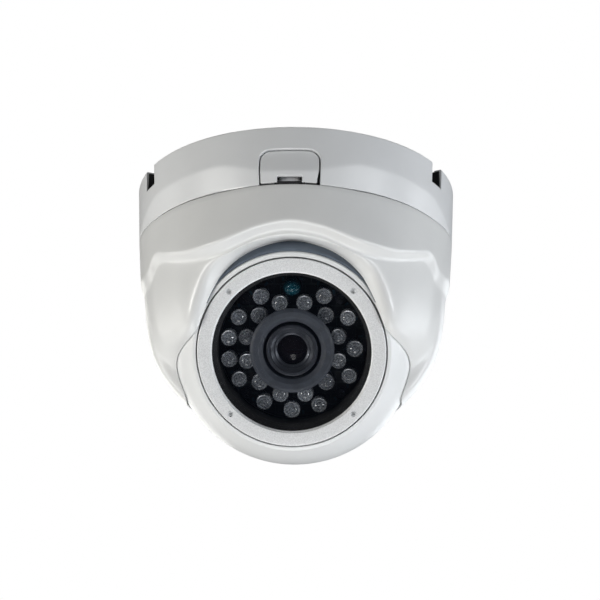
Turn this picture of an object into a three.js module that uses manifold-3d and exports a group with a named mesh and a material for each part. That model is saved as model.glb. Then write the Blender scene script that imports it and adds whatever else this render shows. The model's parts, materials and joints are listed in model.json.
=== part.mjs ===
// Ceiling dome camera with a ball-shaped eye: mounting base, turning cover, tilting ball, lens.
// Millimetres. The origin is the centre of the ceiling face, +Z is up and the eye looks towards -Y.
// Azimuths are in degrees from the front (-Y), positive towards +X.
import * as THREE from "three";
import { mergeVertices } from "three/addons/utils/BufferGeometryUtils.js";
import Module from "manifold-3d";

const wasm = await Module();
wasm.setup();

// ---------- driving dimensions ----------
const GAP = 0.3; // left between faces that touch

const BASE = { topR: 47, seamR: 46.1, height: 15.8, wall: 2.3, plate: 2.5 };
const COVER = { topZ: -BASE.height - GAP, topR: 46.1, browR: 44.9, wall: 2.2, rim: 1.4 };
const BALL = { r: 35, wall: 2.4, y: -2, z: -45, lookDown: 26, faceZ: 23.3 };
const LIP = { outerR: 36, innerR: 35.6, clearR: 36.05 }; // the cover's edge, from the ball's centre

// Edge of the cover's opening: azimuth and elevation about the ball's centre.
const LIP_EDGE = [
  [0, 30.8], [14, 28.1], [25.5, 22], [34, 13], [40.3, 1.6], [44.5, -5.6], [50, -9.3], [60, -12],
  [70, -15], [75.5, -19], [77.5, -25], [79.5, -29.5], [84, -31.5], [95, -31], [125, -30], [180, -30],
];
// How far the dome has turned in, below the horizontal, where it meets that edge.
const TURN_IN = [[0, 19], [25, 14], [35, 0], [45, -8], [60, -18], [77, -36], [90, -43], [180, -43]];
// Below the brow the cheek leans in, holds its line for a share of its way and rolls into the lip.
const CHEEK = { lean: 0.09, hold: 0.76, roll: 0.82 };
// Brow, the rounded step round the cover: azimuth, height of its upper edge, height and radius of
// its lower edge.
const BROW = [
  [0, -26.4, -27.4, 41.4], [11, -27.7, -28.5, 41.4], [17, -29, -30, 41.4], [24, -30.4, -31.8, 41.5],
  [32, -31.05, -32.6, 41.7], [40, -30.75, -32.15, 42], [50, -28.8, -30.3, 42.7], [56, -27.1, -29, 43.2],
  [60, -27.3, -30.2, 43.5], [63.5, -29.6, -33.2, 43.6], [68, -30.6, -34.2, 43.6],
  [82, -29.2, -32.8, 43.6], [110, -28.8, -32.2, 43.6], [180, -28.8, -32.2, 43.6],
];

const NOTCH = { azimuth: 60, width: 5.8, depth: 6.2, innerR: 41 };
const HATCH = { width: 15.8, topZ: -6.3, corner: 3.2, gap: 0.45 };
const HATCH_SLOT = { width: 6.8, topZ: -13.8 };
const HATCH_TONGUE = { half: 3, topZ: -9.7, shelfZ: -10.9 };
const HATCH_SCREW = { z: -14.6, headR: 3.1, headFrom: 43, headTo: 44, shankR: 1.3 };
const HATCH_BOSS = { inner: 38.5, outer: 40.7, width: 7, bottomZ: -19 };

const POST = { azimuths: [90, 210, 330], at: 37.4, r: 2.1, bottomZ: -20.8 };
const CEILING_HOLE = { azimuths: [30, 150, 270], at: 30, r: 2.25 };
const CABLE_HOLE = { y: 20, r: 8 };
const FLANGE = { innerR: 39.9, topZ: -19.7, bottomZ: -20.8 };
const RETAINER = { innerR: 36.2, outerR: 41.6, topZ: -21.1, bottomZ: -23.5 };
const SMALL_SCREW = { headR: 1.9, headH: 1.3, shankR: 0.95, length: 5.5 };

const CLAMP = { innerR: 29.9, outerR: 33.5, topZ: -21, bottomZ: -22.8, rearGap: 24 };
const EAR = {
  azimuths: [-135, -65, 65, 135], at: 39.6, topZ: -24, bottomZ: -25.8, width: 7,
  rearFrom: 31, frontFrom: 32.3, rootTo: 35, to: 41.9,
};
const COVER_BOSS = { r: 2.7, topZ: EAR.bottomZ - GAP, bottomZ: -35, holeZ: -33, screwZ: -31.5 };
const LINER = { topZ: -21.6, bottomZ: -24 };

// Inside the ball, heights run along the lens axis from the ball's centre.
const RING = { outerR: 25.35, boreR: 25.75, apertureR: 21.75, lipR: 21.45, backZ: 18.2 };
const PIN_HOLE = { at: 23.4, r: 0.75, depth: 2.2 };
const GLASS = { r: 22.9, backZ: 19.95, frontZ: 21.5 };
const LEDGE_Z = 17.9;
const LED_BOARD = { r: 20.4, hole: 8.3, backZ: 7.6, frontZ: 8.8 };
const LED = { r: 2.44, tipZ: 17.5 };
// Radius and clock angle, seen from in front, of each lamp.
const INNER_LEDS = [15, 45, 75, 105, 135, 165, 195, 225, 255, 285, 315, 345].map((a) => [13, a]);
const OUTER_LEDS = [
  [16.9, 31], [17.4, 61], [17.1, 90], [17.2, 116], [17.2, 155], [16.9, 181],
  [16.8, 208.5], [16.9, 240.5], [17.7, 261], [17.7, 280], [17.1, 301], [16.8, 329],
];
const PHOTOCELL = { at: 16.9, r: 2.5, tipZ: 16.4 };
const SHROUD = { boreR: 7.9, stemR: 10.2, rimR: 11.5, frontZ: 19.6 };
const BARREL = { threadR: 5.85, headR: 7, headZ: 10.6, frontZ: 18.9, backZ: -3 };
const BOARD_SCREW = { at: 18.7, headR: 1.6, headH: 1.2, shankR: 0.8, length: 5.5 };
const SENSOR_BOARD = { side: 36, backZ: -8.6, frontZ: -7.2 };
const POWER_BOARD = { side: 34, backZ: -19.4, frontZ: -18 };
const STANDOFF = { r: 2.2, waistR: 1.2 };
const HOLDER = { half: 9.5, footZ: -4.4, tubeR: 7.6, topZ: 6.8 };
const SENSOR = { halfX: 4, halfY: 3.4, topZ: -5.6 };
const GLAND = {
  boreR: 2.6, neckR: 4.3, flangeR: 6.2, holeR: 4.7, tipZ: -38.2,
  insideZ: [-30.2, -31.3], outsideZ: [-35.4, -37.2],
};

// ---------- helpers ----------
const rad = THREE.MathUtils.degToRad;

function turned(points, segments) {
  const profile = points.map(([r, z]) => new THREE.Vector2(r, z));
  if (THREE.ShapeUtils.area(profile) < 0) profile.reverse();
  const onAxis = profile.filter((p) => p.x === 0).length;
  if (onAxis === 0) profile.push(profile[0].clone());
  while (onAxis && !(profile[0].x === 0 && profile.at(-1).x === 0)) profile.push(profile.shift());
  return new THREE.LatheGeometry(profile, segments).rotateX(Math.PI / 2);
}

const rod = (r, z0, z1, segments) => turned([[0, z0], [r, z0], [r, z1], [0, z1]], segments);

function box(x, y, z) {
  const size = [x, y, z].map(([low, high]) => high - low);
  const middle = [x, y, z].map(([low, high]) => (low + high) / 2);
  return new THREE.BoxGeometry(...size).translate(...middle);
}

const toAzimuth = (geometry, azimuth) => geometry.rotateZ(rad(azimuth));

// From the front (-Y) side, a rod that lies along the radius.
const radialRod = (r, from, to, z, segments) =>
  rod(r, from, to, segments).rotateX(Math.PI / 2).translate(0, 0, z);

function toSolid(geometry) {
  const bare = new THREE.BufferGeometry();
  bare.setAttribute("position", geometry.getAttribute("position"));
  bare.setIndex(geometry.index);
  const merged = mergeVertices(bare, 1e-4);
  const vertProperties = merged.getAttribute("position").array;
  const triVerts = new Uint32Array(merged.index.array);
  return new wasm.Manifold(new wasm.Mesh({ numProp: 3, vertProperties, triVerts }));
}

function toGeometry(solid) {
  const mesh = solid.getMesh();
  const geometry = new THREE.BufferGeometry();
  geometry.setAttribute("position", new THREE.BufferAttribute(mesh.vertProperties, 3));
  geometry.setIndex(new THREE.BufferAttribute(mesh.triVerts, 1));
  return geometry;
}

const join = (body, pieces) =>
  toGeometry(pieces.reduce((solid, piece) => solid.add(toSolid(piece)), toSolid(body)));
const cut = (body, tools) =>
  toGeometry(tools.reduce((solid, tool) => solid.subtract(toSolid(tool)), toSolid(body)));
const common = (body, other) => toGeometry(toSolid(body).intersect(toSolid(other)));

// Smooth curve through rows of [position, value, ...], read at one position.
function along(rows, position) {
  const last = rows.length - 1;
  const i = Math.min(last - 1, rows.findLastIndex((row) => row[0] <= position));
  const [a, b] = [rows[i], rows[i + 1]];
  const [before, after] = [rows[Math.max(0, i - 1)], rows[Math.min(last, i + 2)]];
  const span = b[0] - a[0];
  const t = (position - a[0]) / span;
  const slope = (p, q, k) => ((q[k] - p[k]) / (q[0] - p[0])) * span;
  return a.slice(1).map((value, n) => {
    const k = n + 1;
    const m0 = i === 0 ? 0 : slope(before, b, k);
    const m1 = i === last - 1 ? 0 : slope(a, after, k);
    const [t2, t3] = [t * t, t * t * t];
    return (2 * t3 - 3 * t2 + 1) * value + (t3 - 2 * t2 + t) * m0 +
      (3 * t2 - 2 * t3) * b[k] + (t3 - t2) * m1;
  });
}

// ---------- base ----------
function mountingBase() {
  const innerR = BASE.topR - BASE.wall;
  const shell = turned([
    [0, 0], [BASE.topR - 0.4, 0], [BASE.topR, -0.4], [BASE.seamR, -BASE.height],
    [innerR, -BASE.height], [innerR, -BASE.plate], [0, -BASE.plate],
  ], 48);
  const posts = POST.azimuths.map((azimuth) =>
    toAzimuth(rod(POST.r, POST.bottomZ, -1, 12).translate(0, -POST.at, 0), azimuth));
  const half = HATCH_BOSS.width / 2;
  const boss = box([-half, half], [-HATCH_BOSS.outer, -HATCH_BOSS.inner], [HATCH_BOSS.bottomZ, -1]);
  const postHoles = POST.azimuths.map((azimuth) =>
    toAzimuth(rod(SMALL_SCREW.shankR + GAP, -40, -14, 8).translate(0, -POST.at, 0), azimuth));
  const ceilingHoles = CEILING_HOLE.azimuths.map((azimuth) =>
    toAzimuth(rod(CEILING_HOLE.r, -5, 5, 12).translate(0, -CEILING_HOLE.at, 0), azimuth));
  const notches = [-NOTCH.azimuth, NOTCH.azimuth].map((azimuth) => toAzimuth(box(
    [-NOTCH.width / 2, NOTCH.width / 2], [-60, -NOTCH.innerR], [-NOTCH.depth, 5]), azimuth));
  return cut(join(shell, [...posts, boss]), [
    ...postHoles, ...ceilingHoles, ...notches,
    rod(CABLE_HOLE.r, -5, 5, 24).translate(0, CABLE_HOLE.y, 0),
    hatchOutline(HATCH.width / 2 + HATCH.gap, HATCH.topZ, -30),
    radialRod(HATCH_SCREW.shankR + GAP, 30, 50, HATCH_SCREW.z, 12),
  ]);
}

// The hatch's outline with its two round upper corners, pushed through the front wall.
function hatchOutline(half, top, bottom) {
  const r = HATCH.corner;
  const outline = new THREE.Shape().moveTo(-half, bottom).lineTo(half, bottom);
  outline.lineTo(half, top - r).absarc(half - r, top - r, r, 0, Math.PI / 2);
  outline.lineTo(r - half, top).absarc(r - half, top - r, r, Math.PI / 2, Math.PI);
  const slab = new THREE.ExtrudeGeometry(outline, { depth: 20, curveSegments: 4, bevelEnabled: false });
  return slab.rotateX(Math.PI / 2).translate(0, -HATCH_SCREW.headFrom, 0);
}

function hatchPlug() {
  const innerR = BASE.topR - BASE.wall;
  const band = turned([
    [innerR, -BASE.height], [BASE.seamR, -BASE.height], [BASE.topR, 0], [innerR, 0],
  ], 48);
  const plate = common(band, hatchOutline(HATCH.width / 2, HATCH.topZ - HATCH.gap, -30));
  const tongueTo = HATCH_SCREW.headFrom - GAP;
  const tongueFrom = HATCH_BOSS.outer + GAP;
  const { half, topZ, shelfZ } = HATCH_TONGUE;
  const shelf = box([-half, half], [-innerR - 1, -tongueFrom], [shelfZ, topZ]);
  const tongue = box([-half, half], [-tongueTo, -tongueFrom], [HATCH_BOSS.bottomZ, topZ]);
  const slotHalf = HATCH_SLOT.width / 2;
  return cut(join(plate, [shelf, tongue]), [
    box([-slotHalf, slotHalf], [-60, -tongueTo], [-30, HATCH_SLOT.topZ]),
    radialRod(HATCH_SCREW.shankR + GAP, 30, 50, HATCH_SCREW.z, 12),
  ]);
}

// A pan-head screw, head up, its head's underside at height 0, with a cross recess.
function screw(headR, headH, shankR, length) {
  const dome = [[headR, 0], [headR, headH * 0.45], [headR * 0.72, headH * 0.88], [0, headH]];
  const body = turned([[0, -length], [shankR, -length], [shankR, 0], ...dome], 10);
  const arm = headR * 0.55;
  const slit = headR * 0.13;
  const floor = headH * 0.35;
  return cut(body, [
    box([-arm, arm], [-slit, slit], [floor, 9]),
    box([-slit, slit], [-arm, arm], [floor, 9]),
  ]);
}

function hatchScrew() {
  const headH = HATCH_SCREW.headTo - HATCH_SCREW.headFrom;
  return screw(HATCH_SCREW.headR, headH, HATCH_SCREW.shankR, 6)
    .rotateZ(rad(45)).rotateX(Math.PI / 2).translate(0, -HATCH_SCREW.headFrom, HATCH_SCREW.z);
}

function panRetainer() {
  const ring = turned([
    [RETAINER.innerR, RETAINER.bottomZ], [RETAINER.outerR, RETAINER.bottomZ],
    [RETAINER.outerR, RETAINER.topZ], [RETAINER.innerR, RETAINER.topZ],
  ], 36);
  const seat = RETAINER.bottomZ + SMALL_SCREW.headH + GAP;
  const place = (tool, azimuth) => toAzimuth(tool.translate(0, -POST.at, 0), azimuth);
  return cut(ring, POST.azimuths.flatMap((azimuth) => [
    place(rod(SMALL_SCREW.shankR + GAP, -40, 0, 8), azimuth),
    place(rod(SMALL_SCREW.headR + GAP, -40, seat, 12), azimuth),
  ]));
}
function retainerScrew(azimuth) {
  const seat = RETAINER.bottomZ + SMALL_SCREW.headH;
  const piece = screw(SMALL_SCREW.headR, SMALL_SCREW.headH, SMALL_SCREW.shankR, SMALL_SCREW.length)
    .rotateX(Math.PI);
  return toAzimuth(piece.translate(0, -POST.at, seat), azimuth);
}

// ---------- cover ----------
// The cover's section at one azimuth about the ball's centre, as points round its closed outline.
function coverSection(azimuth) {
  const side = Math.abs(azimuth);
  const [elevation] = along(LIP_EDGE, side);
  const onSphere = (r, lift) => {
    const [level, height] = [r * Math.cos(rad(elevation + lift)), r * Math.sin(rad(elevation + lift))];
    const x = level * Math.sin(rad(azimuth));
    return new THREE.Vector3(x, BALL.y - level * Math.cos(rad(azimuth)), BALL.z + height);
  };
  const lip = onSphere(LIP.outerR, 0);
  const lipR = Math.hypot(lip.x, lip.y);
  const heading = Math.atan2(lip.x, -lip.y);
  const at = (r, z) => new THREE.Vector3(r * Math.sin(heading), -r * Math.cos(heading), z);
  const [upper, lower, underR] = along(BROW, Math.abs(THREE.MathUtils.radToDeg(heading)));

  // The cheek's line and the line that leaves the lip outwards meet in a corner, which the dome rounds.
  const turnIn = rad(along(TURN_IN, side)[0]);
  const run = (underR - CHEEK.lean * (lower - lip.z) - lipR) /
    (Math.cos(turnIn) + CHEEK.lean * Math.sin(turnIn));
  const valley = new THREE.Vector2(underR, lower);
  const edge = new THREE.Vector2(lipR, lip.z);
  const corner = new THREE.Vector2(lipR + run * Math.cos(turnIn), lip.z - run * Math.sin(turnIn));
  const dome = new THREE.CubicBezierCurve(
    valley, valley.clone().lerp(corner, CHEEK.hold), edge.clone().lerp(corner, CHEEK.roll), edge);
  const steps = [0, 0.25, 0.42, 0.58, 0.75, 0.88, 1];
  const outside = steps.map((t) => dome.getPoint(t));
  const inside = steps.slice(0, -1).reverse().map((t) => {
    const point = dome.getPoint(t);
    const tangent = dome.getTangent(t);
    return clearOfBall(at(point.x + tangent.y * COVER.wall, point.y - tangent.x * COVER.wall));
  });
  return [
    at(COVER.topR, COVER.topZ),
    at(COVER.browR, upper),
    ...outside.slice(0, -1).map((p) => at(p.x, p.y)),
    lip,
    onSphere(LIP.innerR, 0.4),
    ...inside,
    at(COVER.browR - COVER.wall, upper + COVER.rim),
    at(COVER.topR - COVER.rim, COVER.topZ),
  ];
}

function clearOfBall(point) {
  const centre = new THREE.Vector3(0, BALL.y, BALL.z);
  const away = point.clone().sub(centre);
  if (away.length() < LIP.clearR) away.setLength(LIP.clearR);
  return centre.add(away);
}

function coverShell() {
  const half = [];
  for (let a = 2; a < 180; a += a < 74 ? 4 : 13) half.push(a);
  const azimuths = [...half.map((a) => -a).reverse(), ...half];
  const columns = azimuths.map(coverSection);
  const count = columns[0].length;
  const index = [];
  columns.forEach((_, i) => {
    const next = (i + 1) % columns.length;
    for (let j = 0; j < count; j++) {
      const k = (j + 1) % count;
      index.push(i * count + j, i * count + k, next * count + j);
      index.push(i * count + k, next * count + k, next * count + j);
    }
  });
  const skin = new THREE.BufferGeometry().setFromPoints(columns.flat());
  skin.setIndex(index);
  const flange = turned([
    [FLANGE.innerR, FLANGE.bottomZ], [COVER.browR - COVER.rim / 2, FLANGE.bottomZ],
    [COVER.browR - COVER.rim / 2, FLANGE.topZ], [FLANGE.innerR, FLANGE.topZ],
  ], 48);
  const bosses = EAR.azimuths.map((azimuth) => toAzimuth(
    rod(COVER_BOSS.r, COVER_BOSS.bottomZ, COVER_BOSS.topZ, 12).translate(0, -EAR.at, 0), azimuth));
  const holes = EAR.azimuths.map((azimuth) => toAzimuth(
    rod(SMALL_SCREW.shankR + GAP, COVER_BOSS.holeZ, 0, 8).translate(0, -EAR.at, 0), azimuth));
  return cut(join(skin, [flange, ...bosses]), holes);
}

// The wedge left open at the rear of the clamp and its liner, where the cable bush passes.
const rearWedge = () => {
  const half = Math.tan(rad(CLAMP.rearGap)) * 60;
  const wedge = new THREE.Shape().moveTo(0, 0).lineTo(half, 60).lineTo(-half, 60);
  return new THREE.ExtrudeGeometry(wedge, { depth: 40, bevelEnabled: false }).translate(0, 0, -45);
};

function ballClamp() {
  const ring = cut(turned([
    [CLAMP.innerR, CLAMP.bottomZ], [CLAMP.outerR, CLAMP.bottomZ],
    [CLAMP.outerR, CLAMP.topZ], [CLAMP.innerR, CLAMP.topZ],
  ], 36), [rearWedge()]).translate(0, BALL.y, 0);
  const half = EAR.width / 2;
  const ears = EAR.azimuths.flatMap((azimuth) => {
    const inner = Math.abs(azimuth) > 90 ? EAR.rearFrom : EAR.frontFrom;
    const blocks = [
      box([-half, half], [-EAR.to, -inner], [EAR.bottomZ, EAR.topZ]),
      box([-half, half], [-EAR.rootTo, -inner], [EAR.bottomZ, CLAMP.topZ]),
    ];
    return blocks.map((block) => toAzimuth(block, azimuth));
  });
  const holes = EAR.azimuths.map((azimuth) => toAzimuth(
    rod(SMALL_SCREW.shankR + GAP, COVER_BOSS.holeZ, EAR.topZ + 1, 8).translate(0, -EAR.at, 0), azimuth));
  return cut(join(ring, ears), holes);
}

function clampLiner() {
  const [top, bottom] = [LINER.topZ, LINER.bottomZ];
  const touching = (z) => Math.sqrt((BALL.r + GAP) ** 2 - (z - BALL.z) ** 2) + 0.1;
  const outer = CLAMP.innerR - GAP;
  const section = [[touching(bottom), bottom], [outer, bottom], [outer, top], [touching(top), top]];
  const ring = turned(section, 36);
  return cut(ring, [rearWedge()]).translate(0, BALL.y, 0);
}

// The clamp's screws are flush with the ears' top, below the pan ring that turns above them.
function clampScrew(azimuth) {
  const piece = rod(SMALL_SCREW.shankR, COVER_BOSS.screwZ, EAR.topZ + GAP, 8);
  return toAzimuth(piece.translate(0, -EAR.at, 0), azimuth);
}

// ---------- ball ----------
const arc = (r, from, to, count) => Array.from({ length: count }, (_, i) => {
  const angle = rad(from + ((to - from) * i) / (count - 1));
  return [r * Math.cos(angle), r * Math.sin(angle)];
});

function ballBody() {
  const rim = THREE.MathUtils.radToDeg(Math.asin((BALL.faceZ - 0.15) / BALL.r));
  const rear = THREE.MathUtils.radToDeg(Math.acos(GLAND.holeR / BALL.r));
  const innerR = BALL.r - BALL.wall;
  const innerRear = THREE.MathUtils.radToDeg(Math.acos(GLAND.holeR / innerR));
  return turned([
    ...arc(BALL.r, rim, -rear, 15),
    ...arc(innerR, -innerRear, 20, 8),
    [24, 15.2], [20.9, 15.6], [20.9, LEDGE_Z], [RING.boreR, LEDGE_Z], [RING.boreR, BALL.faceZ - 0.15],
  ], 40);
}

function trimRing() {
  const under = GLASS.frontZ + GAP;
  const skirt = GLASS.r + 0.4;
  const ring = turned([
    [RING.outerR, RING.backZ], [RING.outerR, BALL.faceZ - 0.35], [RING.outerR - 0.35, BALL.faceZ],
    [RING.apertureR, BALL.faceZ], [RING.lipR, under + 0.5], [RING.lipR, under],
    [skirt, under], [skirt, RING.backZ],
  ], 40);
  const holes = [45, 135, 225, 315].map((angle) => toAzimuth(
    rod(PIN_HOLE.r, BALL.faceZ - PIN_HOLE.depth, 30, 8).translate(0, PIN_HOLE.at, 0), angle));
  return cut(ring, holes);
}

const windowGlass = () => turned([
  [0, GLASS.backZ], [GLASS.r, GLASS.backZ], [GLASS.r, GLASS.frontZ - 0.25],
  [GLASS.r - 0.25, GLASS.frontZ], [0, GLASS.frontZ],
], 36);

const windowSeal = () => turned([
  [21.1, LEDGE_Z + GAP], [22.9, LEDGE_Z + GAP], [22.9, GLASS.backZ - GAP], [21.1, GLASS.backZ - GAP],
], 36);

const boardCorners = [45, 135, 225, 315];

function ledBoard() {
  const disc = turned([
    [LED_BOARD.hole, LED_BOARD.backZ], [LED_BOARD.r, LED_BOARD.backZ],
    [LED_BOARD.r, LED_BOARD.frontZ], [LED_BOARD.hole, LED_BOARD.frontZ],
  ], 32);
  return cut(disc, boardCorners.map((angle) => toAzimuth(
    rod(BOARD_SCREW.shankR + GAP, 0, 20, 8).translate(0, BOARD_SCREW.at, 0), angle)));
}

// A round lamp or light sensor with a domed tip, standing on the lamp board.
function domed(r, tipZ) {
  const foot = LED_BOARD.frontZ + GAP;
  const shoulder = tipZ - r;
  const tip = arc(r, 0, 90, 4).map(([x, z]) => [x < 1e-9 ? 0 : x, shoulder + z]);
  return turned([[0, foot], [r, foot], ...tip], 8);
}

const lensShroud = () => turned([
  [SHROUD.boreR, LED_BOARD.frontZ + GAP], [SHROUD.stemR, LED_BOARD.frontZ + GAP], [SHROUD.stemR, 17.6],
  [SHROUD.rimR, 18.3], [SHROUD.rimR, SHROUD.frontZ - 0.4], [SHROUD.rimR - 0.4, SHROUD.frontZ],
  [SHROUD.boreR + 0.5, SHROUD.frontZ], [SHROUD.boreR, SHROUD.frontZ - 0.5],
], 24);

function lensHolder() {
  const side = [-HOLDER.half, HOLDER.half];
  const foot = box(side, side, [SENSOR_BOARD.frontZ + GAP, HOLDER.footZ]);
  const tube = rod(HOLDER.tubeR, HOLDER.footZ - 1, HOLDER.topZ, 24);
  return cut(join(foot, [tube]), [rod(BARREL.threadR + 0.2, -20, 20, 24)]);
}

function lensBarrel() {
  return turned([
    [4.2, BARREL.backZ], [BARREL.threadR, BARREL.backZ], [BARREL.threadR, BARREL.headZ],
    [BARREL.headR, BARREL.headZ], [BARREL.headR, BARREL.frontZ - 0.4],
    [BARREL.headR - 0.4, BARREL.frontZ], [BARREL.headR - 0.9, BARREL.frontZ], [4.1, 17.2], [4.1, 16.9],
    [5, 16.7], [5, 13.9], [4.2, 13.9],
  ], 20);
}

const lensFrontGlass = () => turned([
  [0, 14.2], [4.7, 14.2], [4.7, 15.1], [3.4, 15.8], [1.8, 16.2], [0, 16.35],
], 16);

function squareBoard(spec, hole) {
  const half = spec.side / 2;
  const holes = boardCorners.map((angle) =>
    toAzimuth(rod(hole, -40, 0, 8).translate(0, BOARD_SCREW.at, 0), angle));
  return cut(box([-half, half], [-half, half], [spec.backZ, spec.frontZ]), holes);
}

const imageSensor = () => box(
  [-SENSOR.halfX, SENSOR.halfX], [-SENSOR.halfY, SENSOR.halfY], [SENSOR_BOARD.frontZ + GAP, SENSOR.topZ]);

// A hexagonal pillar from the power board to the lamp board, waisted to pass the sensor board.
function standoff(angle) {
  const pillar = turned([
    [0, POWER_BOARD.frontZ + GAP], [STANDOFF.r, POWER_BOARD.frontZ + GAP],
    [STANDOFF.r, SENSOR_BOARD.backZ - GAP], [STANDOFF.waistR, SENSOR_BOARD.backZ - GAP],
    [STANDOFF.waistR, SENSOR_BOARD.frontZ + GAP], [STANDOFF.r, SENSOR_BOARD.frontZ + GAP],
    [STANDOFF.r, LED_BOARD.backZ - GAP], [0, LED_BOARD.backZ - GAP],
  ], 6);
  const drilled = cut(pillar, [rod(BOARD_SCREW.shankR + GAP, 2, 20, 8)]);
  return toAzimuth(drilled.translate(0, BOARD_SCREW.at, 0), angle);
}

function boardScrew(angle) {
  const piece = screw(BOARD_SCREW.headR, BOARD_SCREW.headH, BOARD_SCREW.shankR, BOARD_SCREW.length);
  return toAzimuth(piece.translate(0, BOARD_SCREW.at, LED_BOARD.frontZ + GAP), angle);
}

function cableGland() {
  const { boreR, neckR, flangeR, tipZ, insideZ, outsideZ } = GLAND;
  return turned([
    [boreR, insideZ[0]], [flangeR, insideZ[0]], [flangeR, insideZ[1]], [neckR, insideZ[1]],
    [neckR, outsideZ[0]], [flangeR, outsideZ[0]], [flangeR, outsideZ[1]], [flangeR - 1, tipZ],
    [boreR, tipZ],
  ], 16);
}

// ---------- assembly ----------
const paint = new THREE.MeshStandardMaterial({ color: 0xe4e6e6, roughness: 0.38, metalness: 0.1 });
const silverPaint = new THREE.MeshStandardMaterial({ color: 0xd8dadc, roughness: 0.42, metalness: 0.3 });
const alloy = new THREE.MeshStandardMaterial({ color: 0x9da1a5, roughness: 0.45, metalness: 0.9 });
const steel = new THREE.MeshStandardMaterial({ color: 0xb8babd, roughness: 0.3, metalness: 1 });
const brass = new THREE.MeshStandardMaterial({ color: 0xb99a52, roughness: 0.35, metalness: 1 });
const rubber = new THREE.MeshStandardMaterial({ color: 0x2b2c30, roughness: 0.75, metalness: 0 });
const nylon = new THREE.MeshStandardMaterial({ color: 0x16171a, roughness: 0.5, metalness: 0 });
const anodised = new THREE.MeshStandardMaterial({ color: 0x101114, roughness: 0.4, metalness: 0.6 });
const solderMask = new THREE.MeshStandardMaterial({ color: 0x0c0e14, roughness: 0.5, metalness: 0 });
const silicon = new THREE.MeshStandardMaterial({ color: 0x2a3540, roughness: 0.15, metalness: 0.4 });
const clear = { transparent: true, roughness: 0.05, metalness: 0 };
const tintedGlass = new THREE.MeshStandardMaterial({ color: 0x0a0c12, opacity: 0.35, ...clear });
const lensGlass = new THREE.MeshStandardMaterial({ color: 0x2a2038, opacity: 0.6, ...clear });
const epoxy = new THREE.MeshStandardMaterial({ color: 0xcfd6d8, opacity: 0.5, ...clear });
const tealEpoxy = new THREE.MeshStandardMaterial({ color: 0x0a4a5a, opacity: 0.8, ...clear });

const camera = new THREE.Group();
const ball = new THREE.Group();
ball.position.set(0, BALL.y, BALL.z);
ball.rotation.x = Math.PI / 2 + rad(BALL.lookDown);
camera.add(ball);

function add(group, name, geometry, material) {
  const mesh = new THREE.Mesh(geometry, material);
  mesh.name = name;
  group.add(mesh);
}

add(camera, "mounting_base", mountingBase(), paint);
add(camera, "hatch_plug", hatchPlug(), paint);
add(camera, "hatch_screw", hatchScrew(), steel);
add(camera, "pan_retainer", panRetainer(), alloy);
POST.azimuths.forEach((azimuth, i) =>
  add(camera, `retainer_screw_${i + 1}`, retainerScrew(azimuth), steel));

add(camera, "cover_shell", coverShell(), paint);
add(camera, "ball_clamp", ballClamp(), alloy);
add(camera, "clamp_liner", clampLiner(), nylon);
EAR.azimuths.forEach((azimuth, i) => add(camera, `clamp_screw_${i + 1}`, clampScrew(azimuth), steel));

add(ball, "cable_gland", cableGland(), rubber);
add(ball, "ball_body", ballBody(), paint);
add(ball, "trim_ring", trimRing(), silverPaint);
add(ball, "window_glass", windowGlass(), tintedGlass);
add(ball, "window_seal", windowSeal(), rubber);
add(ball, "led_board", ledBoard(), solderMask);
[...INNER_LEDS, ...OUTER_LEDS].forEach(([radius, clock], i) => {
  const lamp = toAzimuth(domed(LED.r, LED.tipZ).translate(0, radius, 0), -clock);
  add(ball, `led_${String(i + 1).padStart(2, "0")}`, lamp, epoxy);
});
add(ball, "photocell", domed(PHOTOCELL.r, PHOTOCELL.tipZ).translate(0, PHOTOCELL.at, 0), tealEpoxy);
add(ball, "lens_shroud", lensShroud(), rubber);
add(ball, "lens_holder", lensHolder(), nylon);
add(ball, "sensor_board", squareBoard(SENSOR_BOARD, 1.6), solderMask);
add(ball, "image_sensor", imageSensor(), silicon);
add(ball, "power_board", squareBoard(POWER_BOARD, 1.1), solderMask);
boardCorners.forEach((angle, i) => {
  add(ball, `standoff_${i + 1}`, standoff(angle), brass);
  add(ball, `board_screw_${i + 1}`, boardScrew(angle), anodised);
});
add(ball, "lens_barrel", lensBarrel(), anodised);
add(ball, "lens_front_glass", lensFrontGlass(), lensGlass);

export default camera;
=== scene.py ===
"""Looks of a ceiling dome camera: painted shells, tilting eye, lamps, lens, camera and light.
Shapes are worked out in millimetres and made in metres. +Z is up, the eye looks towards -Y, and the
origin is the centre of the ceiling face. Azimuths are degrees from the front, positive towards +X."""
import json
import math

import bmesh
import bpy
from mathutils import Matrix, Vector


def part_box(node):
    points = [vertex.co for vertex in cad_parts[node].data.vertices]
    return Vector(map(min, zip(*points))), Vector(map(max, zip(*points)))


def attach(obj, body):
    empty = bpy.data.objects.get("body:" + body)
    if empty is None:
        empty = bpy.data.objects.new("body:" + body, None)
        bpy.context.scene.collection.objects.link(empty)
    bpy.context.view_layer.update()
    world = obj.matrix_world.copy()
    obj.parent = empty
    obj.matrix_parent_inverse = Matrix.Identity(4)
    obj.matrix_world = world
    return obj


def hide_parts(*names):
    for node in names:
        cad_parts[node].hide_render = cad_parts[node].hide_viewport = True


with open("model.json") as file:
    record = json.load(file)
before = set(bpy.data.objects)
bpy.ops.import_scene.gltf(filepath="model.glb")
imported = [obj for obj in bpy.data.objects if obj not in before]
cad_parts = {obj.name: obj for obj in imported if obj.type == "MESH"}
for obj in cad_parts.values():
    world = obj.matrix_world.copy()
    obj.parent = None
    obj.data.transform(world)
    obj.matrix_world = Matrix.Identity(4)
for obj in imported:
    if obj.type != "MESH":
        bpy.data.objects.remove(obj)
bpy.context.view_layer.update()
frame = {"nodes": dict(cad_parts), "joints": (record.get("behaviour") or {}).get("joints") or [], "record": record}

# ---------- driving dimensions, in millimetres ----------
MM = 0.001
SEGMENTS = 180
MERGE = 1e-4
GOLDEN_ANGLE = math.pi * (3 - math.sqrt(5))
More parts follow.
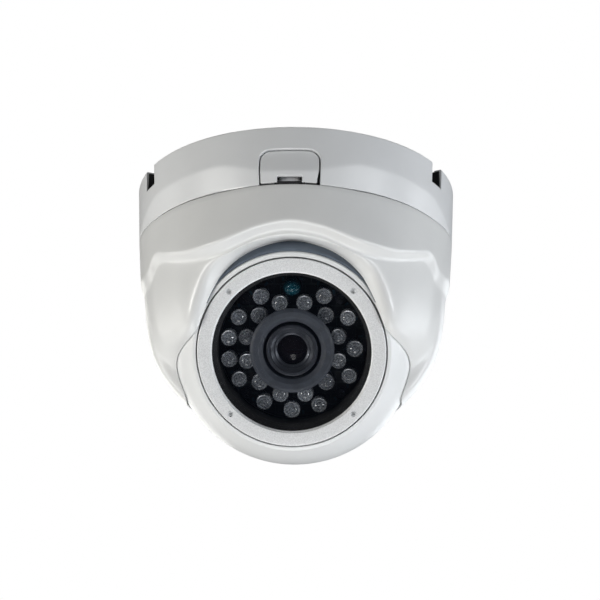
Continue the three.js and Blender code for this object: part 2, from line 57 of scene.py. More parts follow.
EXP_LIMIT = 40

joints = {joint["name"]: joint for joint in frame["joints"]}
BALL_CENTRE = Vector(joints["ball_tilt"]["pos_m"]) / MM
LOOK = Vector(joints["ball_roll"]["axis"]).normalized()

BASE_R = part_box("mounting_base")[1].x / MM
BASE_WALL = 2.3
PLATE = 2.5
SEAM_Z = -15.98
COVER_TOP_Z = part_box("cover_shell")[1].z / MM
# Height of the crease where the base's wall turns in towards the seam, at each azimuth.
CREASE = [
    (0, -12.6), (10, -12.1), (17, -10.5), (24, -9.1), (35, -9.3), (45, -9.6), (56, -10.2),
    (66, -12.9), (78, -16.2), (100, -17.0), (180, -17.0),
]
TURN_IN_SLOPE = 0.26
WALL_SLOPE = 0.06
WALL_TOP_R = 46.98
CREASE_SOFTNESS = 0.25
TOP_CHAMFER = 0.3

NOTCH = {"azimuth": 60, "half": 2.9, "floor": -6.2, "inner": 41.0}
HATCH = {"half": 7.9, "top": -6.3, "corner": 3.2, "gap": 0.45}
HATCH_FIELD = {"half": 12.0, "top": -3.4}
HATCH_SLOT = {"half": 3.4, "top": -13.8}
HATCH_HEAD_FROM = 43.0
PLUG_LEAN = 0.11
# Thickness of the dark sheets lining the notches, painted shade on the notch walls.
NOTCH_SHADE_SHEET = 0.4
CABLE_HOLE = {"r": 8, "y": 20}
DRILL_HOLE = {"r": 2.25, "circle": 30, "azimuths": (30, 150, 270)}
POST = {"foot": 2.4, "tip": 2.1, "bore": 1.25, "depth": 6, "circle": 37.4, "azimuths": (90, 210, 330)}
# Spacing of the mesh: height of a row in millimetres, and width of a column in degrees.
ROW = 0.4
COLUMN = 1.25

BROW_R = 44.9
COVER_WALL = 2.2
LIP_R = {"front": 36.0, "side": 35.5, "inner": 35.12}
LIP_CLEAR_R = 36.05
# Apron of painted shade under the lip: radii, angle of its foot from the lens axis, and reach either side in
# azimuth.
SHADE_APRON = {"outer": 35.6, "inner": 35.1, "foot": 50.6, "reach": 39.5}
CHEEK_LEAN = 0.09
# How far the cheek's curve holds its direction at its top and at the lip, as shares of the way.
CHEEK_HOLD = {"top": 0.76, "lip": 0.82}
CHEEK_STEPS = 34
# Corner of the inner wall behind the brow, inwards and upwards from the brow's own corner.
BROW_INSIDE = {"in": 1.4, "up": 1.5}
CORNER_REACH = 0.8
# Edge of the cover's opening: azimuth and elevation about the ball's centre.
LIP_EDGE = [
    (0, 30.8), (14, 28.1), (25.5, 22), (34, 13), (40.3, 1.6), (44.5, -5.6), (50, -9.3),
    (60, -12), (70, -15), (75.5, -19), (77.5, -25), (79.5, -29.5), (84, -31.5), (95, -31), (125, -30),
    (180, -30),
]
# How far the dome has turned in, below the horizontal, where it meets that edge.
TURN_IN = [(0, 19), (25, 14), (35, 0), (45, -8), (60, -18), (77, -36), (90, -43), (180, -43)]
# Brow, the rounded step round the cover: azimuth, height of its upper edge, height and radius of
# its lower edge.
BROW = [
    (0, -26.4, -27.4, 41.4), (11, -27.7, -28.5, 41.4), (17, -29.0, -30.0, 41.4),
    (24, -30.4, -31.8, 41.5), (32, -31.05, -32.6, 41.7), (40, -30.75, -32.15, 42.0),
    (50, -28.8, -30.3, 42.7), (56, -27.1, -29.0, 43.2), (60, -27.3, -30.2, 43.5),
    (63.5, -29.6, -33.2, 43.6), (68, -30.6, -34.2, 43.6), (82, -29.2, -32.8, 43.6),
    (110, -28.8, -32.2, 43.6), (180, -28.8, -32.2, 43.6),
]

BALL_R = 34.97
BALL_WALL = 2.4
BALL_EDGE = {"z": 22.95, "latitude": 38.9}
REAR_HOLE_R = 4.7
FACE_Z = 23.3
PIN_HOLE = {"circle": 23.4, "r": 0.85, "depth": 1.1, "angles": (45, 135, 225, 315)}
RING = {"outer": 25.35, "bore": 25.75, "aperture": 21.75, "lip": 21.45, "back": 18.2}
GLASS = {"r": 22.9, "back": 19.95, "front": 21.5}

# ---------- helpers ----------


def lerp(a, b, t):
    return a + (b - a) * t


def smoothstep(low, high, x):
    t = min(1.0, max(0.0, (x - low) / (high - low)))
    return t * t * (3 - 2 * t)


def along(rows, position):
    """Smooth curve through rows of (position, value, ...), read at one position."""
    last = len(rows) - 1
    i = max(k for k in range(last) if k == 0 or rows[k][0] <= position)
    a, b = rows[i], rows[i + 1]
    before, after = rows[max(0, i - 1)], rows[min(last, i + 2)]
    span = b[0] - a[0]
    t = (position - a[0]) / span
    values = []
    for k in range(1, len(a)):
        m0 = 0 if i == 0 else (b[k] - before[k]) / (b[0] - before[0]) * span
        m1 = 0 if i == last - 1 else (after[k] - a[k]) / (after[0] - a[0]) * span
        values.append(
            (2 * t**3 - 3 * t**2 + 1) * a[k] + (t**3 - 2 * t**2 + t) * m0
            + (3 * t**2 - 2 * t**3) * b[k] + (t**3 - t**2) * m1
        )
    return values


def at_azimuth(r, azimuth, z):
    a = math.radians(azimuth)
    return Vector((r * math.sin(a), -r * math.cos(a), z))


def spread(breaks, step):
    """Values through every break, evenly spaced about step apart between them."""
    values = [breaks[0]]
    for low, high in zip(breaks, breaks[1:]):
        count = max(1, round(abs(high - low) / step))
        values += [lerp(low, high, (k + 1) / count) for k in range(count)]
    return values


def rounded(corners, steps=5):
    """An outline of (radius, height) points, each with a third number where its corner is rounded."""
    points = []
    for i, (r, z, *fillet) in enumerate(corners):
        here = Vector((r, z))
        if not fillet:
            points.append(here)
            continue
        before = Vector(corners[i - 1][:2]) - here
        after = Vector(corners[(i + 1) % len(corners)][:2]) - here
        reach = fillet[0] / math.tan(before.angle(after) / 2)
        start, end = here + before.normalized() * reach, here + after.normalized() * reach
        for k in range(steps + 1):
            t = k / steps
            points.append(start * (1 - t) ** 2 + here * 2 * t * (1 - t) + end * t**2)
    return [(p.x, p.y) for p in points]


def arc(r, start, end, steps):
    """Points of a circle about the origin, from one elevation in degrees to another."""
    angles = [math.radians(lerp(start, end, k / steps)) for k in range(steps + 1)]
    return [(r * math.cos(a), r * math.sin(a)) for a in angles]


def lathe(bm, outline, segments=SEGMENTS, centre=(0, 0)):
    """Turns a closed outline of (radius, height) round an upright axis through centre."""
    rings = []
    for r, z in outline:
        if r < MERGE:
            rings.append([bm.verts.new((*centre, z))] * segments)
            continue
        angles = [2 * math.pi * k / segments for k in range(segments)]
        rings.append([
            bm.verts.new((centre[0] + r * math.cos(a), centre[1] + r * math.sin(a), z)) for a in angles
        ])
    for ring, following in zip(rings, rings[1:] + rings[:1]):
        for k in range(segments):
            n = (k + 1) % segments
            corners = list(dict.fromkeys([ring[k], ring[n], following[n], following[k]]))
            if len(corners) > 2:
                bm.faces.new(corners)
    return bm


def grid(bm, rows, keep=lambda i, j: True, around=False):
    """Four-sided faces between rows of points, apart from cells that keep turns down."""
    verts = [[bm.verts.new(p) for p in row] for row in rows]
    width = len(rows[0])
    for i in range(len(rows) - 1):
        for j in range(width if around else width - 1):
            n = (j + 1) % width
            if keep(i, j):
                bm.faces.new([verts[i][j], verts[i][n], verts[i + 1][n], verts[i + 1][j]])
    bmesh.ops.delete(bm, geom=[v for v in bm.verts if not v.link_faces], context="VERTS")
    return bm


def thicken(bm, inner):
    """Closes a sheet into a solid with its copy, moved by inner and joined along the open edges."""
    bmesh.ops.remove_doubles(bm, verts=bm.verts, dist=MERGE)
    bmesh.ops.recalc_face_normals(bm, faces=bm.faces)
    sheet = list(bm.faces)
    loops = [edge.link_loops[0] for edge in bm.edges if edge.is_boundary]
    rims = [(loop.vert, loop.link_loop_next.vert) for loop in loops]
    copy = {v: bm.verts.new(inner(v.co)) for v in list(bm.verts)}
    for face in sheet:
        bm.faces.new([copy[v] for v in reversed(face.verts)])
    for a, b in rims:
        bm.faces.new([b, a, copy[a], copy[b]])
    return bm


def block(bm, x, y, z, top_scale=1.0):
    """A box between limits, its top end drawn in or out by top_scale."""
    middle = Vector((sum(x) / 2, sum(y) / 2, 0))
    verts = []
    for height, scale in ((z[0], 1.0), (z[1], top_scale)):
        for px, py in ((x[0], y[0]), (x[1], y[0]), (x[1], y[1]), (x[0], y[1])):
            corner = middle + (Vector((px, py, 0)) - middle) * scale
            verts.append(bm.verts.new((corner.x, corner.y, height)))
    for corners in ((3, 2, 1, 0), (4, 5, 6, 7), (0, 1, 5, 4), (1, 2, 6, 5), (2, 3, 7, 6), (3, 0, 4, 7)):
        bm.faces.new([verts[k] for k in corners])
    return bm


def extrude(bm, outline, y):
    """A closed outline of (x, height) points, drawn out between two values of y."""
    ends = [[bm.verts.new((px, py, pz)) for px, pz in outline] for py in y]
    for face in ends:
        bm.faces.new(face)
    for k in range(len(outline)):
        n = (k + 1) % len(outline)
        bm.faces.new([ends[0][k], ends[0][n], ends[1][n], ends[1][k]])
    return bm


def absorb(bm, made):
    """Adds the faces of the mesh made to bm, and frees it."""
    mesh = bpy.data.meshes.new("tool")
    made.to_mesh(mesh)
    made.free()
    bm.from_mesh(mesh)
    bpy.data.meshes.remove(mesh)


def piece(name, bm, matrix=Matrix(), sharp=35):
    """The mesh, given in millimetres, as an object in metres, smooth apart from its sharp edges."""
    bmesh.ops.remove_doubles(bm, verts=bm.verts, dist=MERGE)
    bmesh.ops.recalc_face_normals(bm, faces=bm.faces)
    bmesh.ops.transform(bm, matrix=matrix @ Matrix.Scale(MM, 4), verts=bm.verts)
    mesh = bpy.data.meshes.new(name)
    bm.to_mesh(mesh)
    bm.free()
    mesh.shade_smooth()
    mesh.set_sharp_from_angle(angle=math.radians(sharp))
    made = bpy.data.objects.new(name, mesh)
    bpy.context.scene.collection.objects.link(made)
    return made


def settle(made):
    """Makes the result of an object's modifiers its own mesh."""
    result = made.evaluated_get(bpy.context.evaluated_depsgraph_get())
    mesh = bpy.data.meshes.new_from_object(result)
    made.modifiers.clear()
    made.data = mesh
    return made


def combine(made, operation, *tools):
    """Cuts tools away from an object (DIFFERENCE) or joins them to it (UNION)."""
    for tool in tools:
        step = made.modifiers.new("combine", "BOOLEAN")
        step.operation = operation
        step.solver = "EXACT"
        step.object = tool
    settle(made)
    for tool in tools:
        bpy.data.objects.remove(tool)
    made.data.set_sharp_from_angle(angle=math.radians(35))
    return made


def soften(made, width, segments=3, angle=40):
    """Rounds an object's sharp edges by width, in millimetres."""
    step = made.modifiers.new("soften", "BEVEL")
    step.width = width * MM
    step.segments = segments
    step.limit_method = "ANGLE"
    step.angle_limit = math.radians(angle)
    step.harden_normals = True
    step.use_clamp_overlap = True
    return settle(made)


def place(made, body, slot, finish, *nodes):
    """Gives an object its finish and its body, and hides any CAD nodes that it stands for. The slot is not used.
    """
    made.data.materials.clear()
    made.data.materials.append(finish)
    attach(made, body)
    if nodes:
        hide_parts(*nodes)
    return made


# The eye's own frame: heights run along the lens axis from the ball's centre, and Y is up.
SIDE = Vector((1, 0, 0))
EYE_AXES = Matrix((SIDE, LOOK.cross(SIDE), LOOK)).transposed()
EYE = Matrix.Translation(BALL_CENTRE * MM) @ EYE_AXES.to_4x4()


def in_eye(node):
    """Lowest and highest corner of a CAD node in the eye's frame, in millimetres."""
    back = EYE.inverted()
    points = [back @ v.co / MM for v in frame["nodes"][node].data.vertices]
    low = Vector(min(p[k] for p in points) for k in range(3))
    high = Vector(max(p[k] for p in points) for k in range(3))
    return low, high


# ---------- finishes ----------


class Finish:
    """A Principled material, with short calls for the nodes that vary it."""

    def __init__(self, name, color, roughness, metallic=0.0, **sockets):
        self.material = bpy.data.materials.new(name)
        self.material.use_nodes = True
        tree = self.material.node_tree
        self.nodes, self.links = tree.nodes, tree.links
        self.shader = self.nodes["Principled BSDF"]
        self.color = color
        self.roughness = roughness
        self.set(self.shader, {"Base Color": (*color, 1), "Roughness": roughness, "Metallic": metallic})
        self.set(self.shader, {key.replace("_", " "): value for key, value in sockets.items()})
        self.place = self.nodes.new("ShaderNodeTexCoord").outputs["Object"]

    @staticmethod
    def set(node, values):
        for key, value in values.items():
            node.inputs[key].default_value = value

    def noise(self, size, detail=2.0):
        """Cloudy pattern with patches about size millimetres across."""
        node = self.nodes.new("ShaderNodeTexNoise")
        self.set(node, {"Scale": 1 / (size * MM), "Detail": detail})
        self.links.new(self.place, node.inputs["Vector"])
        return node.outputs["Fac"]

    def cells(self, size):
        """Flakes about size millimetres across, each with one value from 0 to 1."""
        node = self.nodes.new("ShaderNodeTexVoronoi")
        self.set(node, {"Scale": 1 / (size * MM)})
        self.links.new(self.place, node.inputs["Vector"])
        split = self.nodes.new("ShaderNodeSeparateColor")
        self.links.new(node.outputs["Color"], split.inputs["Color"])
        return split.outputs["Red"]

    def ramp(self, source, *stops):
        """Maps a pattern through (position, value or color) stops."""
        node = self.nodes.new("ShaderNodeValToRGB")
        ramp = node.color_ramp
        while len(ramp.elements) < len(stops):
            ramp.elements.new(0.5)
        for element, (position, value) in zip(ramp.elements, stops):
            element.position = position
            element.color = (*value, 1) if hasattr(value, "__len__") else (value, value, value, 1)
        self.links.new(source, node.inputs["Fac"])
        return node.outputs["Color"]

    def shades(self, source, spread, *, low=0.35, high=0.65):
        """Varies the base colour by a share either way with a pattern."""
        darker = [c * (1 - spread) for c in self.color]
        lighter = [min(1, c * (1 + spread)) for c in self.color]
        self.links.new(self.ramp(source, (low, darker), (high, lighter)), self.shader.inputs["Base Color"])
        return self

    def gloss(self, source, spread, *, low=0.35, high=0.65):
        """Varies the roughness by an amount either way with a pattern."""
        stops = (low, self.roughness - spread), (high, self.roughness + spread)
        self.links.new(self.ramp(source, *stops), self.shader.inputs["Roughness"])
        return self

    def relief(self, source, depth):
        """Raises the surface by depth millimetres with a pattern, on top of any relief so far."""
        node = self.nodes.new("ShaderNodeBump")
        self.set(node, {"Distance": depth * MM, "Strength": 1.0})
        self.links.new(source, node.inputs["Height"])
        normal = self.shader.inputs["Normal"]
        if normal.is_linked:
            self.links.new(normal.links[0].from_socket, node.inputs["Normal"])
        self.links.new(node.outputs["Normal"], normal)
        return self


def paint(name, color, roughness=0.36):
    """Satin powder coat: faint orange peel, fine grain and slightly uneven shade."""
    finish = Finish(name, color, roughness, Specular_IOR_Level=0.5, Coat_Weight=0.15, Coat_Roughness=0.18)
    finish.shades(finish.noise(9, 3), 0.012)
    finish.gloss(finish.noise(2.4), 0.03)
    finish.relief(finish.noise(0.55, 1), 0.0035)
    finish.relief(finish.noise(0.12, 1), 0.0012)
    return finish.material


def ring_paint():
    """Metallic silver coat with fine flakes."""
    silver = (0.85, 0.86, 0.87)
    finish = Finish("ring_paint", silver, 0.42, 0.12, Coat_Weight=0.15, Coat_Roughness=0.25)
    finish.shades(finish.cells(0.16), 0.1, low=0.1, high=0.9)
    finish.gloss(finish.noise(1.5), 0.05)
    finish.relief(finish.cells(0.12), 0.004)
    return finish.material


def metal(name, color, roughness, grain, spread=0.06, metallic=1.0):
    """Bare metal with tool or casting grain."""
    finish = Finish(name, color, roughness, metallic)
    finish.shades(finish.noise(grain * 6, 3), spread)
    finish.gloss(finish.noise(grain * 3), 0.08)
    finish.relief(finish.noise(grain), 0.006)
    return finish.material


def moulded(name, color, roughness, grain=0.25, spread=0.12, **sockets):
    """Moulded plastic or rubber with a fine matt texture."""
    finish = Finish(name, color, roughness, **sockets)
    finish.shades(finish.noise(grain * 10, 3), spread)
    finish.gloss(finish.noise(grain * 6), 0.06)
    finish.relief(finish.noise(grain, 2), 0.006)
    return finish.material


def clear(name, color, alpha, roughness=0.04, **sockets):
    """Glass or clear resin that passes light straight on, with faint smears on its gloss."""
    finish = Finish(name, color, roughness, Alpha=alpha, **sockets)
    finish.gloss(finish.noise(4, 3), roughness * 0.5)
    finish.shades(finish.noise(3, 2), 0.1)
    finish.relief(finish.noise(2.5, 1), 0.002)
    return finish.material


def circuit():
    """Dark solder mask over copper tracks."""
    finish = Finish("circuit_board", (0.008, 0.011, 0.02), 0.42)
    brick = finish.nodes.new("ShaderNodeTexBrick")
    finish.set(brick, {
        "Scale": 260.0, "Mortar Size": 0.035, "Mortar Smooth": 0.3, "Brick Width": 0.9,
        "Row Height": 0.35, "Color1": (0, 0, 0, 1), "Color2": (0.25, 0.25, 0.25, 1), "Mortar": (1, 1, 1, 1),
    })
    finish.links.new(finish.place, brick.inputs["Vector"])
    copper = finish.ramp(brick.outputs["Color"], (0, (0.007, 0.01, 0.018)), (1, (0.03, 0.045, 0.05)))
    finish.links.new(copper, finish.shader.inputs["Base Color"])
    finish.relief(brick.outputs["Color"], 0.03)
    return finish.material


BASE_PAINT = paint("base_paint", (0.78, 0.79, 0.8))
COVER_PAINT = paint("cover_paint", (0.8, 0.805, 0.8))
BALL_PAINT = paint("ball_paint", (0.86, 0.872, 0.875))
RING_PAINT = ring_paint()
STEEL = metal("screw_steel", (0.84, 0.84, 0.86), 0.36, 0.08, metallic=0.5)
ALLOY = metal("bare_alloy", (0.6, 0.61, 0.62), 0.45, 0.2, 0.1)
BRASS = metal("brass", (0.7, 0.53, 0.26), 0.32, 0.1)
ANODISED = metal("anodised_black", (0.06, 0.066, 0.082), 0.36, 0.06, 0.1, 0.4)
NYLON = moulded("nylon", (0.022, 0.023, 0.026), 0.5)
# Black rubber, also used for the dark sheets that paint shade in the notches and at the foot of the hatch.
RUBBER = moulded("rubber_black", (0.02, 0.02, 0.022), 0.75)
SHROUD_RUBBER = moulded("rubber_shroud", (0.07, 0.08, 0.102), 0.5)
# Slate of the apron under the lip: painted shade of the ball in the lip's shadow.
SHADE_APRON_PAINT = moulded("painted_shade_apron", (0.1, 0.125, 0.16), 0.6, spread=0.05)
CIRCUIT = circuit()
CHIP = moulded("sensor_chip", (0.05, 0.09, 0.12), 0.15)
WINDOW = clear("window_glass", (0.006, 0.009, 0.016), 0.13, 0.03, Specular_IOR_Level=0.7)
REFLECTOR_METAL = metal("lamp_reflector", (0.8, 0.83, 0.87), 0.25, 0.15, 0.1, 0.6)
EPOXY = clear("led_epoxy", (0.26, 0.29, 0.34), 0.25, 0.04, Specular_IOR_Level=1.0, IOR=2.0)
TEAL_EPOXY = clear("photocell_epoxy", (0.004, 0.085, 0.125), 0.88, 0.05, Specular_IOR_Level=1.0)
LENS_GLASS = clear("lens_glass", (0.02, 0.014, 0.022), 0.3, 0.02, Specular_IOR_Level=1.0)

# ---------- base ----------


def wall_radius(azimuth, z):
    """Radius of the base's outer wall, which leans in a little and turns in below the crease."""
    (crease,) = along(CREASE, abs(azimuth))
    below = (crease - z) / CREASE_SOFTNESS
    turned_in = CREASE_SOFTNESS * math.log1p(math.exp(min(below, EXP_LIMIT)))
    chamfer = max(0, TOP_CHAMFER + z)
    return WALL_TOP_R + WALL_SLOPE * z - (TURN_IN_SLOPE - WALL_SLOPE) * turned_in - chamfer


def at_heading(azimuth):
    """Turns what is made at the front to an azimuth."""
    return Matrix.Rotation(math.radians(azimuth), 4, "Z")


def wall_point(azimuth, z):
    return at_azimuth(wall_radius(azimuth, z), azimuth, z)


def azimuth_of(x):
    return math.degrees(math.asin(x / BASE_R))


def inward(r):
    """Moves a point straight in to a radius about the upright axis."""
    def move(co):
        flat = Vector((co.x, co.y, 0))
        return flat.normalized() * r + Vector((0, 0, co.z))
    return move


def hatch_edge(x, z, half, top, corner):
    """The nearest point to (x, z) on an outline with straight sides and two round upper corners."""
    middle = Vector((max(corner - half, min(half - corner, x)), min(top - corner, z)))
    return middle + (Vector((x, z)) - middle).normalized() * corner


def mounting_base():
    edge = azimuth_of(HATCH_FIELD["half"])
    notch = azimuth_of(NOTCH["half"])
    cuts = [NOTCH["azimuth"] - notch, NOTCH["azimuth"] + notch]
    side = spread([edge, *cuts, 180], COLUMN)
    field = [azimuth_of(x) for x in spread([-HATCH_FIELD["half"], HATCH_FIELD["half"]], 1.0)]
    azimuths = [-a for a in reversed(side)][1:] + field[1:-1] + side
    heights = spread([0, -TOP_CHAMFER, HATCH_FIELD["top"], NOTCH["floor"], SEAM_Z], ROW)

    def keep(i, j):
        middle = (azimuths[j] + azimuths[(j + 1) % len(azimuths)]) / 2 if j + 1 < len(azimuths) else 180
        in_hatch = abs(middle) < edge and heights[i] <= HATCH_FIELD["top"] + MERGE
        in_notch = cuts[0] < abs(middle) < cuts[1] and heights[i] > NOTCH["floor"] + MERGE
        return not in_hatch and not in_notch

    bm = grid(bmesh.new(), [[wall_point(a, z) for a in azimuths] for z in heights], keep, around=True)
    low = [z for z in heights if z <= HATCH_FIELD["top"] + MERGE]
    half, top = HATCH_FIELD["half"], HATCH_FIELD["top"]
    outer = [(-half, z) for z in reversed(low)]
    outer += [(BASE_R * math.sin(math.radians(a)), top) for a in field[1:-1]]
    outer += [(half, z) for z in low]
    opening = HATCH["half"] + HATCH["gap"], HATCH["top"], HATCH["corner"]
    inner = [hatch_edge(x, z, *opening) for x, z in outer]
    rows = []
    for t in (0, 0.1, 0.25, 0.45, 0.7, 1):
        mixed = [Vector(a).lerp(Vector(b), t) for a, b in zip(inner, outer)]
        rows.append([wall_point(azimuth_of(p.x), p.y) for p in mixed])
    grid(bm, rows)
    thicken(bm, inward(BASE_R - BASE_WALL))
    wall = soften(piece("mounting_base", bm), 0.13)
    return combine(wall, "UNION", base_plate())


def base_plate():
    """The ceiling plate inside the wall, with its holes, screw posts and hatch boss."""
    rim = BASE_R - BASE_WALL + 0.2
    bm = lathe(bmesh.new(), rounded([(0, -0.25), (rim, -0.25), (rim, -PLATE), (0, -PLATE)]), 96)
    plate = piece("base_plate", bm)
    holes = bmesh.new()
    r = CABLE_HOLE["r"]
    lathe(holes, [(0, -5), (r, -5), (r, 5), (0, 5)], 64, (0, CABLE_HOLE["y"]))
    for azimuth in DRILL_HOLE["azimuths"]:
        spot = at_azimuth(DRILL_HOLE["circle"], azimuth, 0)
        r = DRILL_HOLE["r"]
        lathe(holes, [(0, -5), (r, -5), (r, 5), (0, 5)], 32, (spot.x, spot.y))
    for side in (-1, 1):
        turn = Matrix.Rotation(math.radians(side * NOTCH["azimuth"]), 3, "Z")
        made = block(bmesh.new(), (-NOTCH["half"], NOTCH["half"]), (-60, -NOTCH["inner"]), (-5, 5))
        bmesh.ops.rotate(made, verts=made.verts, cent=(0, 0, 0), matrix=turn)
        absorb(holes, made)
    combine(plate, "DIFFERENCE", piece("plate_holes", holes))
    posts = bmesh.new()
    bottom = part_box("mounting_base")[0].z / MM
    bore, bore_end = POST["bore"], bottom + POST["depth"]
    post = rounded([
        (0, -1), (POST["foot"], -1), (POST["tip"], bottom, 0.3), (bore, bottom), (bore, bore_end),
        (0, bore_end),
    ])
    for azimuth in POST["azimuths"]:
        spot = at_azimuth(POST["circle"], azimuth, 0)
        lathe(posts, post, 32, (spot.x, spot.y))
    block(posts, (-3.5, 3.5), (-40.7, -38.5), (-19, -1))
    return combine(plate, "UNION", piece("plate_posts", posts))


def notch_shade_sheet(side):
    """Thin dark sheet lining one notch, painted shade on its walls."""
    half, floor = NOTCH["half"] - 0.03, NOTCH["floor"] + 0.03
    inner, top = half - NOTCH_SHADE_SHEET, -0.6
    outline = [
        (-half, top), (-half, floor), (half, floor), (half, top),
        (inner, top), (inner, floor + NOTCH_SHADE_SHEET), (-inner, floor + NOTCH_SHADE_SHEET), (-inner, top),
    ]
    bm = extrude(bmesh.new(), outline, (-46.2, -NOTCH["inner"] - 0.1))
    name = "notch_liner_left" if side < 0 else "notch_liner_right"
    return piece(name, bm, at_heading(side * NOTCH["azimuth"]))


def hatch_plug():
    half, top = HATCH["half"], HATCH["top"] - HATCH["gap"]
    corner = HATCH["corner"] - HATCH["gap"]
    bottom = SEAM_Z + 0.45
    arcs = [half - corner + corner * math.sin(math.radians(a)) for a in (15, 30, 45, 60, 72, 82, 90)]
    flat = spread([corner - half, -HATCH_SLOT["half"], HATCH_SLOT["half"], half - corner], 0.8)
    columns = [-x for x in reversed(arcs)] + flat + arcs
    rows = []
    slot_row = 18

    def top_at(x):
        over = max(0.0, abs(x) - (half - corner))
        return top - corner + math.sqrt(max(0.0, corner**2 - over**2))

    for i in range(slot_row + 1):
        rows.append([(x, lerp(top_at(x), HATCH_SLOT["top"], i / slot_row)) for x in columns])
    for z in spread([HATCH_SLOT["top"], bottom], 0.4)[1:]:
        rows.append([(x, z) for x in columns])

    def keep(i, j):
        return i < slot_row or abs(columns[j] + columns[j + 1]) / 2 > HATCH_SLOT["half"]

    def on_wall(x, z):
        wedge = 0.5 * smoothstep(-11.5, bottom, z) * smoothstep(0.5 * half, half, x)
        azimuth = azimuth_of(x - wedge)
        lean = PLUG_LEAN * max(0, z - CREASE[0][1])
        return at_azimuth(wall_radius(azimuth, z) - 0.08 - lean, azimuth, z)

    bm = grid(bmesh.new(), [[on_wall(x, z) for x, z in row] for row in rows], keep)
    thicken(bm, inward(BASE_R - BASE_WALL))
    plug = soften(piece("hatch_plug", bm), 0.22)
    tongue = bmesh.new()
    extrude(tongue, [(-3, -19), (3, -19), (3, -9.7), (-3, -9.7)], (-42.6, -41))
    block(tongue, (-3, 3), (-45.2, -42.2), (-10.9, -9.9))
    return combine(plug, "UNION", soften(piece("tongue", tongue), 0.12))


def hatch_shade_strip():
    """Black strip along the foot of the hatch, in front of the lower part of its screw: painted shade of the gap
    there.
    """
    half, low = HATCH_SLOT["half"] + 0.6, SEAM_Z + 0.02
    outline = [(-half, low), (half, low), (half, low + 0.85), (-half, low + 0.85)]
    return soften(piece("hatch_shade_strip", extrude(bmesh.new(), outline, (-45.1, -44.4))), 0.08)


def cross_recess(arm, slit, floor, top):
    bm = block(bmesh.new(), (-arm, arm), (-slit, slit), (floor, top), 1.35)
    return piece("recess", block(bm, (-slit, slit), (-arm, arm), (floor, top), 1.35))


def pan_head_screw(name, head_r, head_h, shank_r, length, matrix):
    """A pan-head screw, head up from height 0, with a cross recess."""
    outline = [(0, -length), (shank_r * 0.7, -length), (shank_r, -length + 0.5), (shank_r, 0, 0.1)]
    outline += [(head_r, 0, 0.15), (head_r, head_h * 0.5, 0.35 * head_h)]
    outline += [(head_r * 0.7, head_h * 0.95, 0.8 * head_h), (0, head_h)]
    made = piece(name, lathe(bmesh.new(), rounded(outline), 64))
    combine(made, "DIFFERENCE", cross_recess(head_r * 0.52, head_r * 0.13, head_h * 0.3, head_h * 1.2))
    made.data.transform(matrix)
    return made


def hatch_screw():
    low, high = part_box("hatch_screw")
    low, high = low / MM, high / MM
    head_from = HATCH_HEAD_FROM
    spot = Matrix.Translation(Vector((0, -head_from, (low.z + high.z) / 2)) * MM)
    turn = Matrix.Rotation(math.radians(90), 4, "X") @ Matrix.Rotation(math.radians(4), 4, "Z")
    head_r, head_h = (high.x - low.x) / 2, -low.y - head_from
    return pan_head_screw("hatch_screw", head_r, head_h, 1.3, 6, spot @ turn)


# ---------- cover ----------


def clear_of_ball(point):
    away = point - BALL_CENTRE
    return BALL_CENTRE + away.normalized() * max(away.length, LIP_CLEAR_R)


def bezier(a, b, c, d, t):
    s = 1 - t
    return a * s**3 + b * 3 * s * s * t + c * 3 * s * t * t + d * t**3


def eased(before, here, after, steps=6):
    """Points that round the corner here, from one side of it to the other."""
    start = here + (before - here).normalized() * CORNER_REACH
    end = here + (after - here).normalized() * CORNER_REACH
    points = []
    for k in range(steps + 1):
        t = k / steps
        points.append(start.lerp(here, t).lerp(here.lerp(end, t), t))
    return points


def straight(start, end, steps):
    """Points from start up to, but without, end."""
    return [start.lerp(end, k / steps) for k in range(steps)]


